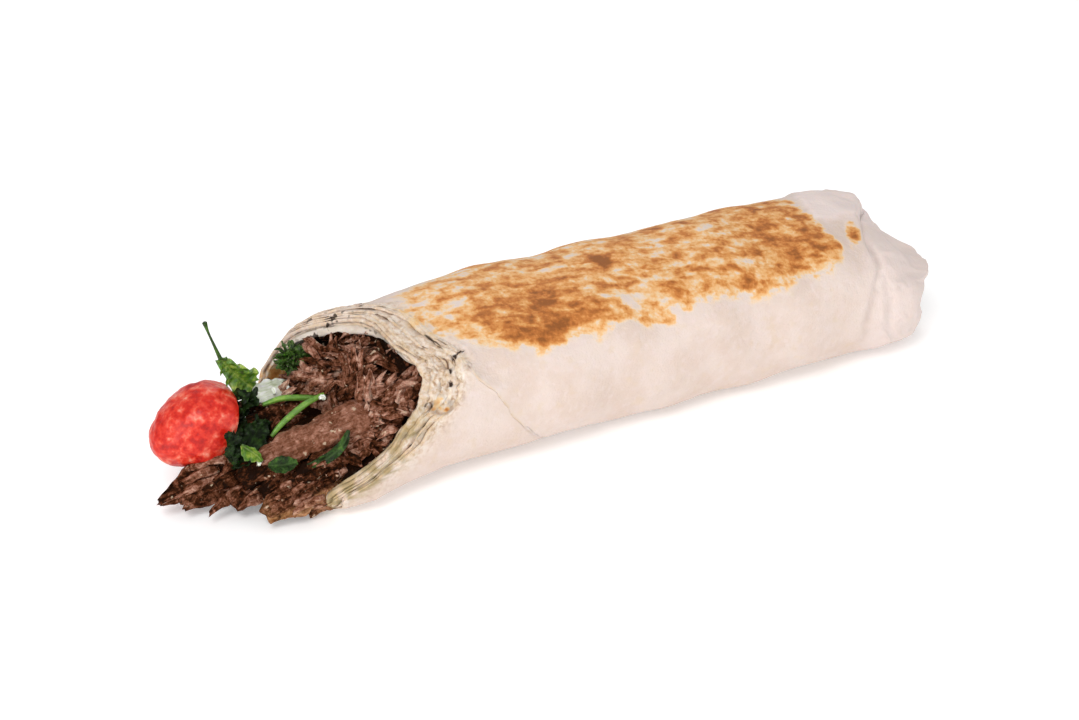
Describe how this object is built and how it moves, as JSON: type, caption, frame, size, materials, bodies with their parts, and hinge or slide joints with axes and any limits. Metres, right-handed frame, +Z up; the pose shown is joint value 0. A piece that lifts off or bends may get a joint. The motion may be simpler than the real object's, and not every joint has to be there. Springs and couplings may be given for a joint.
{
  "type": "meat shawarma",
  "caption": "Rolled griddled flatbread sandwich with one tucked end, filled with shaved meat that spills from its open end with tomato, herbs and onion.",
  "frame": {"origin": "on the roll's flat bottom, near the middle of its length", "axes": "+X along the roll towards its tucked end, -X towards its open mouth, +Z up, -Y towards the side where the outer sheet's seam shows"},
  "size_m": [0.288, 0.0613, 0.0567],
  "materials": {
    "flatbread": "soft matte griddled flatbread",
    "shaved_meat": "moist fibrous roasted meat",
    "tomato": "wet tomato skin and flesh",
    "green_herb": "fresh green leaf and stalk",
    "dark_herb": "dark green leaf in shade",
    "onion": "moist translucent onion"
  },
  "bodies": {
    "root": {"bread_wrap": "flatbread", "meat_heap": "shaved_meat", "tomato_wedge": "tomato", "salad_leaf": "green_herb", "herb_stem_upper": "green_herb", "herb_stem_diagonal": "green_herb", "herb_leaf_small": "green_herb", "herb_leaf_dark": "dark_herb", "herb_leaf_curl": "dark_herb", "herb_leaf_shade": "dark_herb", "parsley_tuft": "dark_herb", "onion_slice": "onion"}
  },
  "joints": []
}
